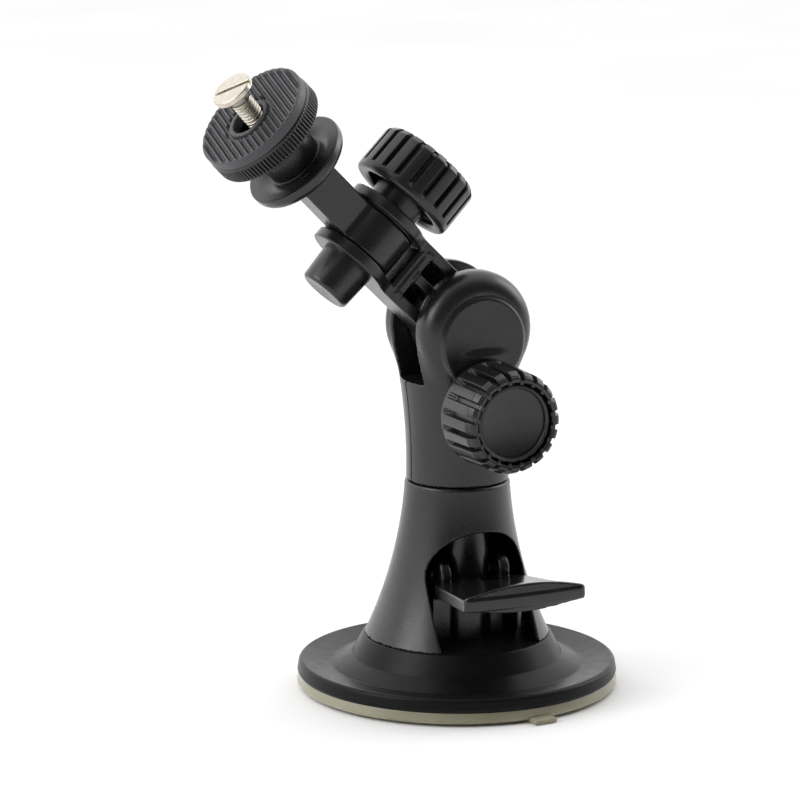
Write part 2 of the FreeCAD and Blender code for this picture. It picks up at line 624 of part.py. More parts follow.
def arm_hardware():
    washers = []
    for start, end in (("plate_inner - head_washer_thickness", "plate_inner"),
                       ("-plate_inner", "head_washer_thickness - plate_inner")):
        washers.append(cut(cylinder("barrel_radius", start, end, "X", z="arm_length"),
                           cylinder("head_bolt_radius + running_gap", start, end, "X",
                                    z="arm_length")))
    subpart("head_washers", fuse(*washers), ARM_FRAME)
    boss = cylinder("nut_boss_radius", "-nut_boss_end", "-plate_outer", "X", z="arm_length")
    hollow = hexagon("nut_radius", "-nut_boss_end + 1", "-nut_pocket + 2.2", "X", z="arm_length")
    bore = cylinder("head_bolt_radius + running_gap", "-nut_boss_end + 0.6", "-plate_outer + 1",
                    "X", z="arm_length")
    subpart("nut_boss", cut(boss, hollow, bore), ARM_FRAME)
    nut = cut(hexagon("nut_radius", "-nut_boss_end + 1.4", "-nut_boss_end + 4.6", "X",
                      z="arm_length"),
              cylinder("head_bolt_radius + running_gap", "-nut_boss_end", "0", "X",
                       z="arm_length"))
    subpart("head_nut", nut, ARM_FRAME)


# ---------------------------------------------------------------- head
def head_tongue():
    """A barrel between the ears, a flat tongue, a saucer flange and a hollow post."""
    barrel = cylinder("barrel_radius", "-barrel_half_width", "barrel_half_width", "X")
    tongue = block(both_sides("barrel_half_width"), both_sides("tongue_half_depth"),
                   ("0", "flange_low"))
    top = turned([("0", "flange_low - flange_cone"),
                  ("tongue_half_depth + 1", "flange_low - flange_cone"),
                  ("flange_radius", "flange_low + 0.6"), ("flange_radius", "flange_high"),
                  ("post_radius", "flange_high - 0.4"), ("post_radius", "post_top"),
                  ("post_bore", "post_top"), ("post_bore", "post_floor"), ("0", "post_floor")])
    bore = cylinder("head_bolt_radius + running_gap", "-barrel_half_width - 1",
                    "barrel_half_width + 1", "X")
    subpart("head_tongue", cut(fuse(barrel, tongue, top), bore), HEAD_FRAME)


def lock_ring():
    bore = "post_radius + running_gap"
    body = turned([(bore, "ring_low"), ("ring_radius - 0.5", "ring_low"),
                   ("ring_radius", "ring_low + 0.5"), ("ring_radius", "ring_high - 0.5"),
                   ("ring_radius - 0.5", "ring_high"), (bore, "ring_high")])
    groove = pocket(body, "XY_Plane", rectangle(("ring_radius - knurl_depth", "ring_radius + 1"),
                                                both_sides("knurl_width / 2")))
    round_pattern(body, groove, "knurl_count")
    subpart("lock_ring", body, HEAD_FRAME)


def seat_pad():
    """The round rubber pad that the camera bracket sits on, ribbed straight across."""
    hole, low, high = "seat_hole", "ring_high", "seat_high"
    body = turned([(hole, low), ("seat_radius", low), ("seat_radius", high), (hole, high)])
    first = "-(rib_count - 1) * rib_pitch / 2"
    groove = pocket(body, "XZ_Plane", rectangle(
        (f"{first} - rib_groove / 2", f"{first} + rib_groove / 2"),
        (f"{high} - rib_depth", f"{high} + 1")))
    row_pattern(body, groove, "rib_count", "rib_pitch")
    subpart("seat_pad", body, HEAD_FRAME * about_z("rib_turn"))


def camera_screw():
    head_top = "camera_screw_above + camera_head_height"
    screw = fuse(cylinder("camera_screw_radius", "-camera_screw_below", "camera_screw_above"),
                 cylinder("camera_head_radius", "camera_screw_above", head_top))
    slot = block(both_sides("camera_head_radius + 1"), both_sides("camera_slot_width / 2"),
                 (f"{head_top} - camera_slot_depth", f"{head_top} + 1"))
    subpart("camera_screw", cut(screw, slot), SCREW_FRAME * about_z("camera_slot_turn"))
    nut_top = "camera_nut_height - camera_nut_low"
    nut = cut(hexagon("camera_nut_radius", "-camera_nut_low", nut_top),
              cylinder("camera_screw_radius + running_gap", "-camera_nut_low - 1",
                       f"{nut_top} + 1"))
    subpart("floating_nut", nut, SCREW_FRAME)


# ---------------------------------------------------------------- build, check and write
def check(thing):
    if any(word in thing.State for word in ("Invalid", "Error")):
        raise RuntimeError(f"{thing.Label} failed to build")


def main():
    for build in (suction_pad, base_plate, tower_shell, tower_screws, stem_guide, pull_stem,
                  lever_pin, cam_lever, neck_shells, neck_hardware, swivel_hardware, clamp_knob,
                  arm_link, arm_hardware, head_knob, head_tongue, lock_ring, seat_pad,
                  camera_screw):
        build()
        doc.recompute()
    for thing in doc.Objects:
        check(thing)
    for thing in SUBPARTS:
        if thing.Shape.isNull() or not thing.Shape.isValid():
            raise RuntimeError(f"{thing.Label} has no valid shape")
    os.makedirs("parts", exist_ok=True)
    for thing in SUBPARTS:
        thing.Shape.exportStep(f"parts/{thing.Label}.step")
        print(f"{thing.Label}: {len(thing.Shape.Solids)} solid, {thing.Shape.Volume:.1f} mm3")


main()
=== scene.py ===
"""Looks for a suction mount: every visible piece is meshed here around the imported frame.

Shapes are written in millimetres in a frame of their own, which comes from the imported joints,
and turned into metres at the end. Smooth moulded pieces are distance formulas, drawn by net().
Knobs, rings, screws and discs are outlines turned about an axis, drawn by turned().
"""
import itertools
import json
import math

import bpy
import numpy as np
from mathutils import Matrix, Vector


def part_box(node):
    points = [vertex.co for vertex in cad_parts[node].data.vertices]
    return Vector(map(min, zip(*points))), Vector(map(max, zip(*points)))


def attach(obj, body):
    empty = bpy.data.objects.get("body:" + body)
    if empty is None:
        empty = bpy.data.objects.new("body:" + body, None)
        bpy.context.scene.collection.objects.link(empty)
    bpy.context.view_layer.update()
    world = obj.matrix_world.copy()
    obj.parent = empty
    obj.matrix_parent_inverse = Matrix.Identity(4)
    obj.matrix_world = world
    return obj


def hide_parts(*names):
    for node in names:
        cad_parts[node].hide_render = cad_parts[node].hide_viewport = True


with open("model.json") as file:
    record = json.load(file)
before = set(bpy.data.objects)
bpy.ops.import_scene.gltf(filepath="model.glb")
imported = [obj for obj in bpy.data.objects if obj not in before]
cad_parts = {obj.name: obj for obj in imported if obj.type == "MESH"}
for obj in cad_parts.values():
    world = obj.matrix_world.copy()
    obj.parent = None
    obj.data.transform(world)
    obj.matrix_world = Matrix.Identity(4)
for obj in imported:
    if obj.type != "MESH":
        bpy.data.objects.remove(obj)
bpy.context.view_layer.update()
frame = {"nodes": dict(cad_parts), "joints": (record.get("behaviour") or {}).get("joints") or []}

MM = 0.001
NODES = frame["nodes"]
JOINTS = {joint["name"]: joint for joint in frame["joints"]}
X, Y, Z = Vector((1, 0, 0)), Vector((0, 1, 0)), Vector((0, 0, 1))


# ---------------------------------------------------------------- frames
def place(origin, up, side):
    """The matrix of a frame in millimetres: Z along up, X as near side as it can be."""
    up = Vector(up).normalized()
    side = (Vector(side) - Vector(side).dot(up) * up).normalized()
    matrix = Matrix((side, up.cross(side), up)).transposed().to_4x4()
    matrix.translation = Vector(origin)
    return matrix @ Matrix.Scale(MM, 4)


def pivot(joint):
    return Vector(JOINTS[joint]["pos_m"])


def axis(joint):
    return Vector(JOINTS[joint]["axis"])


LEVER_RISE = math.radians(5.5)
ARM_RUN = pivot("head_tilt") - pivot("arm_tilt")
BASE = place((0, 0, 0), Z, X)
KNOB = place((0, 0, pivot("clamp_knob_spin").z), axis("clamp_knob_spin"), X)
LEVER = place(pivot("lever_press"), Z * math.cos(LEVER_RISE) + Y * math.sin(LEVER_RISE), X)
ARM = place(pivot("arm_tilt"), ARM_RUN, axis("head_tilt"))
HEAD = place(pivot("head_tilt"), axis("lock_ring_spin"), axis("head_tilt"))
HEAD_KNOB = place(pivot("head_tilt"), axis("head_tilt"), Y)
SCREW = place(pivot("camera_screw_spin"), axis("camera_screw_spin"), axis("head_tilt"))

PIVOT_Z = pivot("arm_tilt").z / MM
KNOB_Z = pivot("clamp_knob_spin").z / MM
ARM_LENGTH = ARM_RUN.length / MM
PIN_Y, PIN_Z = pivot("lever_press").y / MM, pivot("lever_press").z / MM


def extent(node, matrix):
    """The lowest and highest corner of a CAD node in a frame, in millimetres."""
    inverse = np.array(matrix.inverted())
    mesh = NODES[node].data
    points = np.empty(len(mesh.vertices) * 3)
    mesh.vertices.foreach_get("co", points)
    local = points.reshape(-1, 3) @ inverse[:3, :3].T + inverse[:3, 3]
    return local.min(0), local.max(0)


# ---------------------------------------------------------------- distance formulas
def both(*distances):
    """Where every shape is."""
    return np.maximum.reduce(distances)


def either(*distances):
    return np.minimum.reduce(distances)


def soft_both(one, two, radius):
    """Where both shapes are, with the edge between them rounded."""
    corner = np.hypot(np.maximum(one + radius, 0), np.maximum(two + radius, 0))
    return np.minimum(-radius, np.maximum(one, two)) + corner


def soft_either(one, two, radius):
    """Two shapes joined by a fillet."""
    corner = np.hypot(np.maximum(radius - one, 0), np.maximum(radius - two, 0))
    return np.maximum(radius, np.minimum(one, two)) - corner


def less(one, two, radius):
    """The first shape without the second, with the edge rounded."""
    return soft_both(one, -two, radius)


def slab(value, low, high):
    """Between two heights."""
    return np.abs(value - (low + high) / 2) - (high - low) / 2


def disc(u, v, radius, along, low, high, edge):
    """A round bar about the line u = v = 0, between two places along it."""
    return soft_both(np.hypot(u, v) - radius, slab(along, low, high), edge)


def brick(values, lows, highs, edge):
    """A box with every edge rounded."""
    over = [slab(value, low, high) + edge for value, low, high in zip(values, lows, highs)]
    outside = np.sqrt(sum(np.maximum(each, 0) ** 2 for each in over))
    return outside + np.minimum(both(*over), 0) - edge


def flared(radius, height, foot, top, sweep):
    """Inside a concave flare, an arc of radius sweep from foot to top, both (radius, height)."""
    run = Vector(top) - Vector(foot)
    away = Vector((run.y, -run.x)).normalized()
    centre = (Vector(top) + Vector(foot)) / 2 + away * math.sqrt(sweep ** 2 - run.length_squared / 4)
    return sweep - np.hypot(radius - centre.x, height - centre.y)


# ---------------------------------------------------------------- meshes
def slope(distance, points, gap):
    steps = np.eye(3) * gap
    rise = [distance(*(points + step).T) - distance(*(points - step).T) for step in steps]
    gradient = np.stack(rise, -1) / (2 * gap)
    return gradient, np.maximum((gradient ** 2).sum(-1, keepdims=True), 1e-9)


def settle(distance, points, quads, step):
    """Even the points out along the surface and draw each onto it. Returns them with normals."""
    for even in (0.5, 0.5, 0, 0):
        if even:
            ends = np.concatenate([quads[:, [k, (k + 1) % 4]] for k in range(4)])
            total, count = np.zeros_like(points), np.zeros(len(points))
            np.add.at(total, ends[:, 0], points[ends[:, 1]])
            np.add.at(count, ends[:, 0], 1)
            points = points + even * (total / np.maximum(count, 1)[:, None] - points)
        gradient, square = slope(distance, points, step * 0.1)
        move = distance(*points.T)[:, None] * gradient / square
        points = points - np.clip(move, -step / 2, step / 2)
    gradient, square = slope(distance, points, step * 0.1)
    return points, gradient / np.sqrt(square)


def net(distance, low, high, step):
    """Closed quads on the surface where distance is zero, within a box, and their normals."""
    low = np.array(low, float) - 1.5 * step
    counts = np.ceil((np.array(high, float) + 1.5 * step - low) / step).astype(int) + 1
    lattice = np.stack(np.meshgrid(*[np.arange(n) for n in counts], indexing="ij"))
    values = distance(*(low[:, None, None, None] + step * lattice))
    corners = np.array(list(itertools.product((0, 1), repeat=3)))
    ends = counts - 1
    inside = sum((values[a:a + ends[0], b:b + ends[1], c:c + ends[2]] < 0).astype(int)
                 for a, b, c in corners)
    active = (inside > 0) & (inside < 8)
    cells = np.argwhere(active)
    numbers = np.full(active.shape, -1)
    numbers[active] = np.arange(len(cells))
    total, count = np.zeros((len(cells), 3)), np.zeros((len(cells), 1))
    for start, end in itertools.combinations(corners, 2):
        if abs(end - start).sum() != 1:
            continue
        first, last = values[tuple((cells + start).T)], values[tuple((cells + end).T)]
        crosses = ((first < 0) != (last < 0))[:, None]
        share = (first / np.where(first == last, 1, first - last))[:, None]
        total += crosses * (cells + start + share * (end - start))
        count += crosses
    points = low + step * total / count
    quads = []
    for along in range(3):
        one, two = np.eye(3, dtype=int)[(along + 1) % 3], np.eye(3, dtype=int)[(along + 2) % 3]
        ahead = np.eye(3, dtype=int)[along]
        near = 1 - ahead
        edges = np.argwhere(np.ones(counts - 1 - near, bool)) + near
        first, last = values[tuple(edges.T)], values[tuple((edges + ahead).T)]
        crossed = (first < 0) != (last < 0)
        edges, rising = edges[crossed], (first < 0)[crossed]
        around = [edges, edges - one, edges - one - two, edges - two]
        faces = np.stack([numbers[tuple(cell.T)] for cell in around], -1)
        faces[~rising] = faces[~rising][:, ::-1]
        quads.append(faces)
    quads = np.concatenate(quads)
    points, normals = settle(distance, points, quads, step)
    return points, quads, normals


def make(name, points, faces, matrix, normals=None):
    """A mesh object from points in a frame's millimetres."""
    grid = np.array(matrix)
    points = np.asarray(points) @ grid[:3, :3].T + grid[:3, 3]
    mesh = bpy.data.meshes.new(name)
    mesh.from_pydata(points.tolist(), [], [list(map(int, face)) for face in faces])
    mesh.update()
    mesh.shade_smooth()
    if normals is not None:
        normals = normals @ grid[:3, :3].T / MM
        mesh.normals_split_custom_set_from_vertices(normals.tolist())
    thing = bpy.data.objects.new(name, mesh)
    bpy.context.scene.collection.objects.link(thing)
    return thing


def moulded(name, distance, low, high, step, matrix):
    points, quads, normals = net(distance, low, high, step)
    return make(name, points, quads, matrix, normals)


def even_normals(thing):
    """Shade flat stretches flat and only the small rounded edges round."""
    modifier = thing.modifiers.new("Even normals", "WEIGHTED_NORMAL")
    modifier.keep_sharp = True


def rounded(corners, bends=6):
    """An open outline from (radius, height, round) corners, each corner with an arc of its round."""
    points = [Vector(corner[:2]) for corner in corners]
    outline = [points[0]]
    for before, here, after, corner in zip(points, points[1:], points[2:], corners[1:]):
        size = corner[2] if len(corner) > 2 else 0
        back, ahead = (before - here).normalized(), (after - here).normalized()
        turn = back.angle(ahead)
        if size == 0 or turn > math.pi - 1e-3:
            outline.append(here)
            continue
        reach = size / math.tan(turn / 2)
        centre = here + (back + ahead).normalized() * size / math.sin(turn / 2)
        start, end = here + back * reach - centre, here + ahead * reach - centre
        for index in range(bends + 1):
            share = index / bends
            spoke = start.slerp(end, share) if start.angle(end) > 1e-4 else start
            outline.append(centre + spoke)
    return outline + [points[-1]]


def turned(name, outline, matrix, angles=96, radius=None):
    """An outline of (radius, height) turned about Z. angles is a count or a list of turns from 0
    to 1, and radius(r, z, turn) may carve it. Ends on the axis close to a point."""
    turns = np.arange(angles) / angles if isinstance(angles, int) else np.array(angles)
    outline = np.array([tuple(point) for point in outline])
    rows = []
    for r, z in outline:
        carved = np.full(len(turns), r) if radius is None or r < 1e-6 else radius(r, z, turns)
        rows.append(np.stack([carved * np.cos(2 * np.pi * turns),
                              carved * np.sin(2 * np.pi * turns), np.full(len(turns), z)], -1))
    points, faces, count = [], [], len(turns)
    starts = []
    for row, (r, _) in zip(rows, outline):
        starts.append(len(points))
        points.extend(row[:1] if r < 1e-6 else row)
    closed = outline[0][0] > 1e-6 and np.allclose(outline[0], outline[-1])
    if closed:
        points, starts[-1] = points[:starts[-1]], starts[0]
    for index in range(len(rows) - 1):
        low, high = starts[index], starts[index + 1]
        for k in range(count):
            after = (k + 1) % count
            if outline[index][0] < 1e-6:
                faces.append((low, high + after, high + k))
            elif outline[index + 1][0] < 1e-6:
                faces.append((low + k, low + after, high))
            else:
                faces.append((low + k, low + after, high + after, high + k))
    return make(name, points, faces, matrix)


def finish_piece(thing, body, slot, material, *nodes):
    """Hand a finished piece to its body, its finish and the CAD nodes that it stands for."""
    thing.data.materials.clear()
    thing.data.materials.append(material)
    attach(thing, body)
    if nodes:
        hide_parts(*nodes)


# ---------------------------------------------------------------- materials
def nodes_of(name):
    material = bpy.data.materials.new(name)
    material.use_nodes = True
    tree = material.node_tree
    shader = next(node for node in tree.nodes if node.type == "BSDF_PRINCIPLED")
    return material, tree, shader


def noise(tree, scale, detail=2.0, stretch=(1, 1, 1)):
    """A noise texture in the object's own metres, scale in features for each metre."""
    place_node = tree.nodes.new("ShaderNodeTexCoord")
    mapping = tree.nodes.new("ShaderNodeMapping")
    mapping.inputs["Scale"].default_value = stretch
    texture = tree.nodes.new("ShaderNodeTexNoise")
    texture.inputs["Scale"].default_value = scale
    texture.inputs["Detail"].default_value = detail
    tree.links.new(place_node.outputs["Object"], mapping.inputs["Vector"])
    tree.links.new(mapping.outputs["Vector"], texture.inputs["Vector"])
    return texture.outputs["Fac"]


def spread(tree, source, low, high):
    """A noise value spread between two numbers."""
    node = tree.nodes.new("ShaderNodeMapRange")
    node.inputs["From Min"].default_value = 0.3
    node.inputs["From Max"].default_value = 0.7
    node.inputs["To Min"].default_value = low
    node.inputs["To Max"].default_value = high
    tree.links.new(source, node.inputs["Value"])
    return node.outputs["Result"]


def tones(tree, source, dark, light):
    """A noise value as a colour between two tones."""
    ramp = tree.nodes.new("ShaderNodeValToRGB")
    ramp.color_ramp.elements[0].position = 0.3
    ramp.color_ramp.elements[0].color = (*dark, 1)
    ramp.color_ramp.elements[1].position = 0.7
    ramp.color_ramp.elements[1].color = (*light, 1)
    tree.links.new(source, ramp.inputs["Fac"])
    return ramp.outputs["Color"]


def bump(tree, shader, source, height, strength):
    node = tree.nodes.new("ShaderNodeBump")
    node.inputs["Distance"].default_value = height
    node.inputs["Strength"].default_value = strength
    tree.links.new(source, node.inputs["Height"])
    tree.links.new(node.outputs["Normal"], shader.inputs["Normal"])


def plastic(name, dark, light, rough, grain, grain_depth, shine=0.5):
    """Moulded plastic: cloudy colour, uneven gloss and a fine spark-eroded grain."""
    material, tree, shader = nodes_of(name)
    cloud = noise(tree, 90, 3)
    tree.links.new(tones(tree, cloud, dark, light), shader.inputs["Base Color"])
    tree.links.new(spread(tree, noise(tree, 420, 2), rough[0], rough[1]),
                   shader.inputs["Roughness"])
    shader.inputs["Specular IOR Level"].default_value = shine
    bump(tree, shader, noise(tree, grain, 2), grain_depth, 0.5)
    return material


def metal(name, dark, light, rough):
    """Plated or drawn metal with faint streaks."""
    material, tree, shader = nodes_of(name)
    shader.inputs["Metallic"].default_value = 1
    streak = noise(tree, 900, 3, (1, 1, 0.15))
    tree.links.new(tones(tree, streak, dark, light), shader.inputs["Base Color"])
    tree.links.new(spread(tree, noise(tree, 1500, 2), rough[0], rough[1]),
                   shader.inputs["Roughness"])
    bump(tree, shader, streak, 0.00002, 0.3)
    return material


def vinyl(name):
    """Clear yellowed vinyl of the suction pad."""
    material, tree, shader = nodes_of(name)
    cloud = noise(tree, 60, 3)
    tree.links.new(tones(tree, cloud, (0.50, 0.48, 0.33), (0.66, 0.62, 0.46)),
                   shader.inputs["Base Color"])
    tree.links.new(spread(tree, noise(tree, 300, 2), 0.12, 0.24), shader.inputs["Roughness"])
    shader.inputs["Transmission Weight"].default_value = 0.55
    shader.inputs["IOR"].default_value = 1.45
    shader.inputs["Subsurface Weight"].default_value = 0.2
    shader.inputs["Subsurface Radius"].default_value = (0.004, 0.004, 0.003)
    bump(tree, shader, noise(tree, 700, 1), 0.00003, 0.25)
    return material


BLACK = plastic("satin_black", (0.0062, 0.0064, 0.0068), (0.0098, 0.01, 0.0104),
                (0.25, 0.3), 5200, 0.00003)
GLOSSY = plastic("glossy_black", (0.005, 0.005, 0.0053), (0.0075, 0.0075, 0.008),
                 (0.17, 0.22), 4200, 0.00002)
# Painted shade: a darker, less shiny copy of the black plastic, its darker colour and weaker
# reflection standing in for the dim light on the plate's top.
SHADED_PLATE_BLACK = plastic("plate_black_painted_shade", (0.005, 0.005, 0.0053), (0.0075, 0.0075, 0.008),
                      (0.3, 0.36), 4200, 0.00002, 0.12)
KNOB_BLACK = plastic("knob_black", (0.007, 0.007, 0.0073), (0.0115, 0.0117, 0.012),
                     (0.27, 0.33), 4200, 0.00003)
RUBBER = plastic("pad_rubber", (0.042, 0.043, 0.047), (0.062, 0.063, 0.067),
                 (0.46, 0.56), 2600, 0.00005)
# Painted shade: a darker copy of the black plastic for the pieces inside the tower's window, its
# darker colour standing in for the shadow in there.
PAINTED_SHADE_BLACK = plastic("black_painted_shade", (0.004, 0.004, 0.004), (0.006, 0.006, 0.006),
                (0.24, 0.3), 3000, 0.00002)
NYLON = plastic("black_nylon", (0.006, 0.006, 0.006), (0.01, 0.01, 0.01), (0.4, 0.5), 3000, 0.00002)
NICKEL = metal("nickel_plate", (0.5, 0.455, 0.385), (0.62, 0.58, 0.51), (0.2, 0.3))
ZINC = metal("zinc_steel", (0.45, 0.46, 0.47), (0.6, 0.61, 0.62), (0.25, 0.4))
BRASS = metal("brass", (0.55, 0.4, 0.16), (0.68, 0.5, 0.22), (0.25, 0.4))
VINYL = vinyl("clear_vinyl")


# ---------------------------------------------------------------- suction base
PAD_LOW, PAD_HIGH = (list(corner / MM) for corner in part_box("suction_pad"))
PAD_RADIUS, PAD_TOP = PAD_HIGH[0], PAD_HIGH[2]
PLATE_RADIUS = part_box("base_plate")[1].x / MM
PLATE_TOP, DOME_TOP = 6.0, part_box("base_plate")[1].z / MM
DOME_RADIUS = 28.0
TOWER_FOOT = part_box("tower_shell")[1].x / MM
TOWER_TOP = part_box("tower_shell")[1].z / MM
TOWER_WAIST, TOWER_SWEEP, TOWER_WALL, ROOF = 11.6, 98.0, 2.0, 2.6
WINDOW_HALF, WINDOW_TOP, WINDOW_CORNER = 11.9, 37.0, 11.0


def suction_pad():
    """A soft vinyl disc with a rolled rim, a shallow well on top and a pull tab at the front."""
    outline = rounded([(0, 0), (PAD_RADIUS - 1.4, 0, 1.2), (PAD_RADIUS, 1.3, 0.8),
                       (PAD_RADIUS - 0.9, PAD_TOP, 0.5), (PAD_RADIUS - 1.6, PAD_TOP, 0),
                       (12.5, PAD_TOP, 0.3), (12.5, 1.5, 0.3), (0, 1.5)])
    pad = turned("suction_pad_vinyl", outline, BASE, 192)
    even_normals(pad)
    finish_piece(pad, "base", "clear_pvc", VINYL, "suction_pad")
    turn, half, end, root, thick = math.radians(4), 2.75, PAD_LOW[1] + 0.15, 4 - PAD_RADIUS, 1.25

    def tab(x, y, z):
        across = x * math.cos(turn) + y * math.sin(turn)
        along = y * math.cos(turn) - x * math.sin(turn)
        return brick((across, along, z), (-half, end, 0.05), (half, root, thick), 0.45)

    lip = moulded("suction_pad_tab", tab, (-1, end, 0), (7, root + 1, 1.3), 0.25, BASE)
    finish_piece(lip, "base", "clear_pvc", VINYL)


def base_plate():
    """The round plate, its low dome and the step that the tower stands on."""
    outline = rounded([(31, PAD_TOP), (PLATE_RADIUS - 0.7, PAD_TOP, 0.5),
                       (PLATE_RADIUS, 3.7, 0.5), (PLATE_RADIUS, PLATE_TOP, 0.75),
                       (DOME_RADIUS, PLATE_TOP, 0.25), (DOME_RADIUS - 3.4, PLATE_TOP + 2.95, 3),
                       (TOWER_FOOT + 0.2, DOME_TOP - 0.15, 0.9), (TOWER_FOOT - 3, DOME_TOP, 0),
                       (3.1, DOME_TOP, 0.3), (3.1, DOME_TOP - 2, 0.3),
                       (TOWER_FOOT - 1, DOME_TOP - 2, 0.5), (27, PLATE_TOP - 2, 0.5),
                       (31, PLATE_TOP - 2, 0.3), (31, PAD_TOP)], 5)
    plate = turned("base_plate_moulding", outline, BASE, 192)
    even_normals(plate)
    # The plate takes the darker copy of the black: painted shade for its dim top.
    finish_piece(plate, "base", "black_abs", SHADED_PLATE_BLACK, "base_plate")


def arch(x, z, half, top, corner):
    """Inside an arched opening: straight jambs and two round corners."""
    side, above = np.abs(x) - half + corner, z - top + corner
    outside = np.hypot(np.maximum(side, 0), np.maximum(above, 0))
    return outside + np.minimum(np.maximum(side, above), 0) - corner


def tower_shell():
    """A flared hollow tower with a roof and the arched window in its front."""
    def tower(x, y, z):
        out = np.hypot(x, y)
        solid = flared(out, z, (TOWER_FOOT, DOME_TOP), (TOWER_WAIST, TOWER_TOP), TOWER_SWEEP)
        solid = soft_both(solid, z - TOWER_TOP, 0.5)
        hollow = both(flared(out, z, (TOWER_FOOT - TOWER_WALL, DOME_TOP),
                             (TOWER_WAIST - TOWER_WALL, TOWER_TOP), TOWER_SWEEP),
                      z - TOWER_TOP + ROOF)
        opening = both(arch(x, z, WINDOW_HALF, WINDOW_TOP, WINDOW_CORNER), y)
        shell = less(both(solid, DOME_TOP + 0.02 - z), hollow, 0.3)
        return less(shell, opening, 0.5)

    shell = moulded("tower_shell_moulding", tower, (-TOWER_FOOT, -TOWER_FOOT, DOME_TOP),
                    (TOWER_FOOT, TOWER_FOOT, TOWER_TOP), 0.38, BASE)
    finish_piece(shell, "base", "black_abs", BLACK, "tower_shell")


def stem_guide():
    """The column behind the window, its pin slots and the cam ledges."""
    low, high = (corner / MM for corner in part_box("stem_guide"))
    half, inside, slot_tall, slot_wide = 5.5, 3.6, 3.2, 1.75
    ledge_front, ledge_back, ledge_top = -5.9, 2.0, 21.9

    def guide(x, y, z):
        column = either(np.hypot(x, y - PIN_Y) - half,
                        both(np.abs(x) - half, slab(y, PIN_Y, high.y - 0.01)))
        column = soft_both(column, z - high.z, 0.8)
        ledge = brick((x, y, z), (low.x, ledge_front, 5), (high.x, ledge_back, ledge_top), 0.5)
        slot = soft_both(np.abs(z - PIN_Z) - slot_tall, np.abs(y - PIN_Y) - slot_wide, 0.4)
        slot = soft_both(slot, inside - np.abs(x), 0.2)
        return both(less(soft_either(column, ledge, 0.6), slot, 0.2), low.z + 0.02 - z)

    column = moulded("stem_guide_moulding", guide, low, high, 0.4, BASE)
    # The column takes the darker black: painted shade for the shadow inside the window.
    finish_piece(column, "base", "black_abs", PAINTED_SHADE_BLACK, "stem_guide")


def cam_lever():
    """A wide paddle with a lens-shaped lip along its bowed front, on two arms with round cams."""
    low, high = extent("cam_lever", LEVER)
    root, tip, back, front = 10.6, high[0], -6.6, low[1]
    middle, half, bow, slot_end = -2.65, 1.4, 95.0, -8.7
    lip_half, lip_rise, lip_bow, lip_deep = 3.5, 0.3, 52.0, 1.8
    arm_inner, arm_outer, arm_end, cam, cam_offset, bore = 5.8, 8.6, -8.6, 4.3, 2.2, 1.55

    def lever(x, y, z):
        taper = root + (tip - root) * (y - back) / (front - back + 2)
        side = (np.abs(x) - np.minimum(taper, tip)) * 0.99
        ahead = np.hypot(x, y - front - bow) - bow
        plan = soft_both(soft_both(side, ahead, 1.2), y - back, 0.6)
        paddle = soft_both(plan, slab(z, middle - half, middle + half), 0.3)
        arched = np.abs(z - middle - lip_rise) + x ** 2 / (2 * lip_bow) - lip_half
        lip = soft_both(soft_both(plan, arched * 0.96, 0.35), y - front - lip_deep, 0.3)
        belly = 0.53 * (middle - 0.2 - z) - 0.85 * (y - front - x ** 2 / (2 * bow))
        lip = soft_both(lip, belly, 0.5)
        hollow = brick((x, y, z), (-arm_inner, slot_end, -9), (arm_inner, 9, 9), 0.8)
        paddle = soft_both(less(paddle, hollow, 0.3), belly, 0.5)
        return soft_either(paddle, lip, 0.4)

    def arms(x, y, z):
        across = np.abs(x)
        bars = brick((across, y, z), (arm_inner, arm_end, middle - 1.2),
                     (arm_outer, 0, middle + 1.2), 0.35)
        cams = disc(y + cam_offset, z, cam, across, arm_inner, arm_outer - 0.1, 0.9)
        return less(either(bars, cams), np.hypot(y, z) - bore, 0.2)

    piece = moulded("cam_lever_paddle", lever, low, high, 0.34, LEVER)
    finish_piece(piece, "lever", "black_abs", GLOSSY, "cam_lever")
    piece = moulded("cam_lever_cams", arms, (-arm_outer, -9, low[2]),
                    (arm_outer, high[1], high[2]), 0.38, LEVER)
    # The arms and cams take the darker black: painted shade for the shadow inside the window.
    finish_piece(piece, "lever", "black_abs", PAINTED_SHADE_BLACK)


# ---------------------------------------------------------------- neck
NECK_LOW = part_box("neck_front_shell")[0].z / MM
NECK_FOOT, NECK_TOP_RADIUS, NECK_SHOULDER, NECK_SWEEP = 11.35, 13.3, 73.0, 127.0
LOBE, LOBE_DEPTH, SLOT_HALF, SLOT_FLOOR = 13.3, 12.4, 5.8, 69.9
BADGE, BADGE_SEAT, BADGE_DEPTH, BADGE_Z = 10.1, 6.6, 12.9, PIVOT_Z - 1.9


def neck_shape(x, y, z):
    """The whole neck before it is split: trunk, two lobes, the raised badge and the slot."""
    out = np.hypot(x, y)
    trunk = flared(out, np.minimum(z, NECK_SHOULDER), (NECK_FOOT, NECK_LOW),
                   (NECK_TOP_RADIUS, NECK_SHOULDER), NECK_SWEEP)
    trunk = soft_both(trunk, z - PIVOT_Z + 4, 1.0)
    trunk = soft_both(trunk, NECK_LOW + 0.02 - z, 0.35)
    lobe = disc(x, z - PIVOT_Z, LOBE, y, -LOBE_DEPTH, LOBE_DEPTH, 4.6)
    body = soft_either(trunk, lobe, 2.0)
    keyhole = either(np.hypot(x, z - BADGE_Z) - BADGE, np.hypot(x, z - KNOB_Z) - BADGE_SEAT,
                     waist(x, z))
    badge = soft_both(keyhole, slab(y, -BADGE_DEPTH, 0), 0.9)
    body = soft_either(body, badge, 0.35)
    slot = both(np.abs(y) - SLOT_HALF, SLOT_FLOOR - z)
    return less(body, slot, 0.5)


def waist(x, z):
    """The badge between its disc and the knob's seat, its sides tangent to both."""
    rise = (z - KNOB_Z) / (BADGE_Z - KNOB_Z)
    side = np.abs(x) - (BADGE_SEAT + (BADGE - BADGE_SEAT) * rise) + 1.6 * np.sin(np.pi * rise)
    return both(side * 0.95, slab(z, KNOB_Z, BADGE_Z))


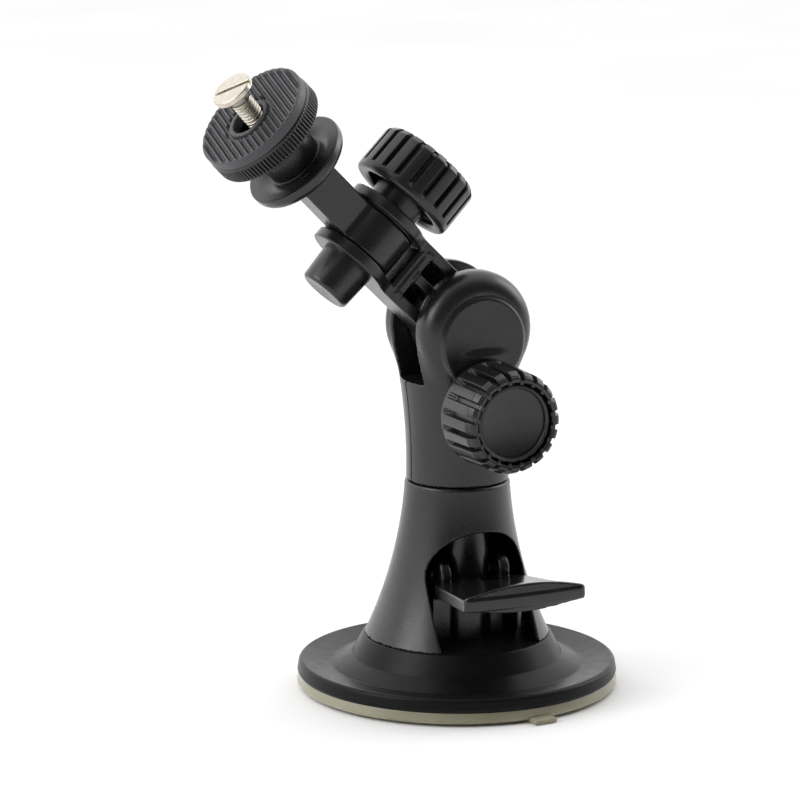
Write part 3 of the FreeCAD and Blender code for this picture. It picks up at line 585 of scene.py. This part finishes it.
def neck_shells():
    """The neck split in two along a fine line, with wells in the rear for its two screws."""
    screw_x, screw_z, well, well_floor = 7.2, 60.5, 2.6, 5.4

    def front(x, y, z):
        return soft_both(neck_shape(x, y, z), y + 0.06, 0.22)

    def rear(x, y, z):
        shell = soft_both(neck_shape(x, y, z), 0.06 - y, 0.22)
        for side in (-screw_x, screw_x):
            hole = both(np.hypot(x - side, z - screw_z) - well, well_floor - y)
            shell = less(shell, hole, 0.3)
        return shell

    for name, shape, low, high in (("front", front, -BADGE_DEPTH, 0),
                                   ("rear", rear, 0, NECK_TOP_RADIUS)):
        shell = moulded(f"neck_{name}_moulding", shape, (-LOBE, low, NECK_LOW),
                        (LOBE, high, PIVOT_Z + LOBE), 0.42, BASE)
        finish_piece(shell, "neck", "black_abs", BLACK, f"neck_{name}_shell")


# ---------------------------------------------------------------- knobs
def step_up(value, start, end):
    """A smooth climb from 0 at start to 1 at end."""
    share = np.clip((value - start) / (end - start), 0, 1)
    return share * share * (3 - 2 * share)


def fluting(count, share, depth, low, high, ease, rim):
    """How a knob's rim is carved: slots between lands, from low to high, outside radius rim."""
    def radius(r, z, turns):
        part = np.abs((turns * count) % 1 - 0.5)
        across = 1 - step_up(part, share / 2 - 0.045, share / 2 + 0.03)
        along = step_up(z, low - ease / 2, low + ease / 2) * (1 - step_up(z, high - ease / 2,
                                                                           high + ease / 2))
        return r - depth * across * along * step_up(r, rim - 0.6, rim)
    return radius


def flute_turns(count, share):
    """Turns that fall closer together at each slot's two walls."""
    near = share / 2 + np.array([-0.06, -0.045, -0.02, 0, 0.02, 0.035])
    parts = np.concatenate([[0, share / 4], near, np.linspace(share / 2 + 0.08, 0.45, 3)])
    parts = np.unique(np.concatenate([0.5 - parts, 0.5 + parts]))
    return ((np.arange(count)[:, None] + parts[None, :]) / count).ravel()


def dense(outline, gap):
    """The outline with points added so that none are further apart than gap."""
    points = [outline[0]]
    for start, end in zip(outline, outline[1:]):
        pieces = max(1, math.ceil((end - start).length / gap))
        points.extend(start.lerp(end, (k + 1) / pieces) for k in range(pieces))
    return points


def clamp_knob():
    """Twenty lands between slots that stop short of a smooth back rim, and a dished cap."""
    _, high = extent("clamp_knob", KNOB)
    radius, face, back = high[0], high[2], 14.6
    outline = rounded([(2.6, 13.2), (6, 13.2, 0.2), (6, back, 0.2), (radius - 0.25, back, 0.4),
                       (radius, back + 0.9, 0.4), (radius, face - 1.3, 0.7),
                       (radius - 0.9, face - 0.25, 0.35), (9.7, face - 0.05, 0.2),
                       (9.3, face - 0.45, 0.2), (8.42, face - 0.85, 0.05), (8.42, face - 2.4, 0),
                       (2.6, face - 2.4, 0),
                       (2.6, 13.2)])
    rim = turned("clamp_knob_moulding", dense(outline, 0.7), KNOB, flute_turns(20, 0.36),
                 fluting(20, 0.36, 1.6, back + 2.0, face + 3, 0.7, 10.2))
    even_normals(rim)
    finish_piece(rim, "clamp_knob", "knob_plastic", KNOB_BLACK, "clamp_knob")
    dish, rise = 8.37, 1.1
    sphere = (dish ** 2 + rise ** 2) / (2 * rise)
    bowl = [Vector((dish * k / 14, face - 0.87 + sphere - rise
                    - math.sqrt(sphere ** 2 - (dish * k / 14) ** 2))) for k in range(15)]
    cap = turned("knob_cap_moulding", bowl + [Vector((dish, face - 2.35)), Vector((0, face - 2.35))],
                 KNOB, 96)
    even_normals(cap)
    finish_piece(cap, "clamp_knob", "knob_plastic", KNOB_BLACK, "knob_cap")


def head_knob():
    """Twenty lands with narrow slots right through the front bevel, and a recessed back."""
    _, high = extent("head_knob", HEAD_KNOB)
    radius, face, back = high[0], high[2], 11.1
    outline = rounded([(2.5, back + 1.5), (5.5, back + 1.5, 0.2), (9.4, back + 1.5, 0.5),
                       (9.7, back + 0.05, 0.3), (radius - 0.2, back + 0.05, 0.3),
                       (radius, back + 1.0, 0.4), (radius, face - 1.1, 0.5),
                       (radius - 1.0, face - 0.1, 0.5), (6.5, face - 0.1, 0.6),
                       (5.8, face - 0.5, 0.6), (0, face - 0.5)])
    knob = turned("head_knob_moulding", dense(outline, 0.7), HEAD_KNOB, flute_turns(20, 0.32),
                  fluting(20, 0.32, 1.4, back + 1.6, face + 3, 0.5, 10.3))
    even_normals(knob)
    finish_piece(knob, "head_knob", "knob_plastic", KNOB_BLACK, "head_knob")
    collar = turned("head_collar_moulding", rounded([
        (2.6, 7.7), (5.1, 7.7, 0.3), (5.5, back, 0.2), (5.5, back + 1.6, 0), (2.6, back + 1.6),
        (2.6, 7.7)]), HEAD_KNOB, 72)
    even_normals(collar)
    finish_piece(collar, "head_knob", "black_abs", BLACK, "head_collar")


# ---------------------------------------------------------------- arm
def arm_link():
    """Twin plates with rounded ears, a cross wall with a ridge, a web and a knuckle."""
    inner, outer, half, ear = 4.9, 7.4, 5.0, 9.3
    low, high = extent("arm_link", ARM)
    knuckle = -low[2]

    def link(x, y, z):
        side = np.abs(x)
        plate = both(np.abs(y) - half, slab(z, 0, ARM_LENGTH))
        ears = np.hypot(y, z - ARM_LENGTH) - ear
        profile = soft_either(plate, ears, 1.5)
        plates = soft_both(profile, slab(side, inner, outer), 0.35)
        wall = brick((x, y, z), (-6, -half, 17.2), (6, half, 19.0), 0.3)
        ridge = brick((x, y, z), (-6, -half - 0.1, 18.6), (6, half + 0.1, 21.1), 1.2)
        web = brick((x, y, z), (-1.1, -half, 5), (1.1, half, 18), 0.3)
        foot = disc(x, z, knuckle, y, -half, half, 0.5)
        body = either(soft_either(plates, wall, 0.4), ridge, foot)
        body = soft_either(body, web, 0.4)
        bolt = np.hypot(y, z - ARM_LENGTH) - 2.55
        pin = np.hypot(x, z) - 2.55
        return less(less(body, bolt, 0.2), pin, 0.2)

    piece = moulded("arm_link_moulding", link, low, high, 0.38, ARM)
    finish_piece(piece, "arm", "black_abs", BLACK, "arm_link")


def nut_boss():
    """A plain round boss on the ear, over the captive nut."""
    low, high = extent("nut_boss", ARM)
    radius = high[1]
    matrix = place(pivot("head_tilt"), -axis("head_tilt"), Y)
    near, far = -high[0], -low[0]
    outline = rounded([(0, near), (radius, near, 0.1), (radius, far, 0.5), (0, far)])
    boss = turned("nut_boss_moulding", outline, matrix, 72)
    even_normals(boss)
    finish_piece(boss, "arm", "black_abs", BLACK, "nut_boss")


# ---------------------------------------------------------------- head
def head_tongue():
    """A barrel and flat tongue under a saucer flange, with the hollow post on top."""
    low, high = extent("head_tongue", HEAD)
    half, deep = 4.4, 4.0
    flange, rim_low, rim_high, post = high[0], 24.9, 26.9, 6.2

    def tongue(x, y, z):
        out = np.hypot(x, y)
        barrel = disc(y, z, 8.2, x, -half, half, 0.4)
        bar = soft_both(soft_both(np.abs(x) - half, np.abs(y) - deep, 0.45),
                        slab(z, 0, rim_low + 0.5), 0.1)
        stem = soft_either(barrel, bar, 1.0)
        sphere = 19.0
        cup = np.sqrt(out ** 2 + (z - rim_low - 14.6) ** 2) - sphere
        saucer = soft_both(soft_both(out - flange, cup, 0.8), z - rim_high, 0.35)
        dish = np.sqrt(out ** 2 + (z - rim_high - 22.8) ** 2) - 24.4
        saucer = less(saucer, dish, 0.35)
        column = disc(x, y, post, z, rim_low, high[2], 0.3)
        bore = disc(x, y, 4.7, z, 27.6, 60, 0.2)
        hole = np.hypot(y, z) - 2.55
        body = soft_either(soft_either(stem, saucer, 1.2), column, 0.4)
        return less(less(body, bore, 0.25), hole, 0.2)

    piece = moulded("head_tongue_moulding", tongue, low, high, 0.4, HEAD)
    finish_piece(piece, "head", "black_abs", BLACK, "head_tongue")


def lock_ring():
    """A ring with a fine straight knurl and a plain band under the pad."""
    low, high = extent("lock_ring", HEAD)
    radius, bottom, top, count = high[0], low[2], high[2], 96
    outline = rounded([(6.25, bottom), (radius - 0.7, bottom, 0.3), (radius, bottom + 0.6, 0.2),
                       (radius, top - 0.25, 0.2), (6.25, top), (6.25, bottom)], 4)

    def knurl(r, z, turns):
        tooth = np.abs((turns * count) % 1 - 0.5) * 2
        along = step_up(z, bottom + 0.15, bottom + 0.5) * (1 - step_up(z, top - 0.75, top - 0.45))
        return r - 0.7 * (1 - step_up(tooth, 0.2, 0.7)) * along * (r > 9)

    turns = ((np.arange(count)[:, None] + np.arange(8)[None, :] / 8) / count).ravel()
    ring = turned("lock_ring_moulding", dense(outline, 0.45), HEAD, turns, knurl)
    finish_piece(ring, "lock_ring", "knob_plastic", KNOB_BLACK, "lock_ring")


def seat_pad():
    """The round rubber pad with straight ribs and a raised lip round its hole."""
    low, high = extent("seat_pad", HEAD)
    radius, bottom, top, hole, pitch = high[0], low[2] + 0.02, high[2], 3.9, 1.37
    turn = math.radians(15.7)

    def pad(x, y, z):
        out, around = np.hypot(x, y), np.hypot(x + 0.9, y)
        across = x * math.cos(turn) - y * math.sin(turn)
        wave = np.abs((across / pitch) % 1 - 0.5) * 2
        depth = 0.95 - 0.7 * step_up(out, radius - 1.4, radius - 0.2)
        height = top - depth * (1 - step_up(wave, 0.25, 0.75))
        lip = 1 - step_up(np.abs(around - hole - 0.55), 0.4, 0.7)
        gutter = 1 - step_up(np.abs(around - hole - 1.6), 0.3, 0.6)
        height = np.minimum(height, top - 0.95 * gutter)
        height = np.maximum(height, (top - 0.02) * lip + (top - 1) * (1 - lip))
        block = soft_both(out - radius, slab(z, bottom, top), 0.4)
        solid = both(block, (z - height) * 0.6)
        return less(solid, around - hole, 0.25)

    piece = moulded("seat_pad_moulding", pad, low, high, 0.2, HEAD)
    finish_piece(piece, "lock_ring", "black_rubber", RUBBER, "seat_pad")


def camera_screw():
    """A slotted flat head on a shank with a rolled thread along its lower part."""
    low, high = extent("camera_screw", SCREW)
    shank, head, pitch, head_low, turn = 2.4, 4.6, 0.8, high[2] - 1.4, math.radians(47)
    start, row = low[2] + 0.7, 0.1
    outline = [Vector((0, low[2])), Vector((1.7, low[2])), Vector((shank, start))]
    rows = int((head_low - 0.6 - low[2]) / row)
    outline += [Vector((shank, start + row * k)) for k in range(1, rows)]
    outline += [Vector((shank, head_low + 0.1)), Vector((0, head_low + 0.1))]

    def thread(r, z, turns):
        phase = np.abs((z / pitch - turns) % 1 - 0.5) * 2
        fade = 1 - step_up(z, head_low - 2.6, head_low - 2.0)
        return r - 0.42 * (1 - step_up(phase, 0.1, 0.9)) * fade * (r > 2)

    stem = turned("camera_screw_shank", outline, SCREW, 40, thread)
    finish_piece(stem, "camera_screw", "nickel_screw", NICKEL, "camera_screw")

    def cap(x, y, z):
        plate = disc(x, y, head, z, head_low, high[2], 0.25)
        across = x * math.sin(turn) + y * math.cos(turn)
        slot = both(np.abs(across) - 0.5, high[2] - 0.9 - z)
        return less(plate, slot, 0.12)

    top = moulded("camera_screw_head", cap, (-head, -head, head_low), (head, head, high[2]),
                  0.12, SCREW)
    finish_piece(top, "camera_screw", "nickel_screw", NICKEL)


# ---------------------------------------------------------------- nodes kept from the frame
KEPT = {
    ZINC: ("tower_screws", "lever_pin", "neck_screws", "knuckle_pin", "clamp_bolt",
           "swivel_washer", "spring_washer", "swivel_screw", "swivel_nut", "head_nut",
           "head_bolt", "floating_nut"),
    BRASS: ("knob_insert",),
    NYLON: ("friction_washers", "head_washers"),
    # The pull stem takes the darker black: painted shade for the shadow inside the tower.
    PAINTED_SHADE_BLACK: ("pull_stem",),
}


def finish_kept_nodes():
    for material, names in KEPT.items():
        for name in names:
            NODES[name].data.materials.clear()
            NODES[name].data.materials.append(material)


# ---------------------------------------------------------------- studio
def studio():
    """A pale floor, white surroundings that are dimmer on the camera's side, and soft lights."""
    size = 6.0
    mesh = bpy.data.meshes.new("floor")
    mesh.from_pydata([(-size, -size, 0), (size, -size, 0), (size, size, 0), (-size, size, 0)],
                     [], [(0, 1, 2, 3)])
    floor = bpy.data.objects.new("floor", mesh)
    bpy.context.scene.collection.objects.link(floor)
    material, tree, shader = nodes_of("floor_white")
    tree.links.new(tones(tree, noise(tree, 8, 1), (0.86, 0.86, 0.86), (0.9, 0.9, 0.9)),
                   shader.inputs["Base Color"])
    shader.inputs["Roughness"].default_value = 0.9
    shader.inputs["Specular IOR Level"].default_value = 0.1
    mesh.materials.append(material)
    world = bpy.data.worlds.new("studio")
    world.use_nodes = True
    bpy.context.scene.world = world
    tree = world.node_tree
    background = next(node for node in tree.nodes if node.type == "BACKGROUND")
    way = tree.nodes.new("ShaderNodeTexCoord")
    split = tree.nodes.new("ShaderNodeSeparateXYZ")
    tree.links.new(way.outputs["Generated"], split.inputs["Vector"])
    facing = tree.nodes.new("ShaderNodeMapRange")
    facing.interpolation_type = "SMOOTHSTEP"
    for word, number in (("From Min", -0.75), ("From Max", 0.08), ("To Min", 0.12),
                         ("To Max", 1.5)):
        facing.inputs[word].default_value = number
    tree.links.new(split.outputs["Y"], facing.inputs["Value"])
    path = tree.nodes.new("ShaderNodeLightPath")
    seen = tree.nodes.new("ShaderNodeMath")
    seen.operation = "MAXIMUM"
    tree.links.new(path.outputs["Is Camera Ray"], seen.inputs[0])
    tree.links.new(facing.outputs["Result"], seen.inputs[1])
    tree.links.new(seen.outputs["Value"], background.inputs["Strength"])
    background.inputs["Color"].default_value = (1, 1, 1, 1)
    lamp("key", (-0.7, 0.0, 0.5), 0.5, 2.6)
    lamp("fill", (0.65, 0.0, 0.4), 0.4, 1.2)


def lamp(name, where, size, power):
    data = bpy.data.lights.new(name, "AREA")
    data.size = size
    data.energy = power
    light = bpy.data.objects.new(name, data)
    light.location = where
    light.rotation_euler = (Vector((0, 0, 0.06)) - Vector(where)).to_track_quat("-Z", "Y").to_euler()
    bpy.context.scene.collection.objects.link(light)


def camera():
    data = bpy.data.cameras.new("camera")
    data.lens = 188.3
    data.sensor_width = 36
    data.clip_start, data.clip_end = 0.05, 10
    eye = bpy.data.objects.new("camera", data)
    eye.location = (-0.4059, -0.8034, 0.2571)
    eye.rotation_euler = (math.radians(77.92), 0, math.radians(-26))
    bpy.context.scene.collection.objects.link(eye)
    bpy.context.scene.camera = eye


# ---------------------------------------------------------------- build
for build in (suction_pad, base_plate, tower_shell, stem_guide, cam_lever, neck_shells, clamp_knob,
              head_knob, arm_link, nut_boss, head_tongue, lock_ring, seat_pad, camera_screw,
              finish_kept_nodes, studio, camera):
    build()
bpy.context.scene.view_settings.view_transform = "Standard"
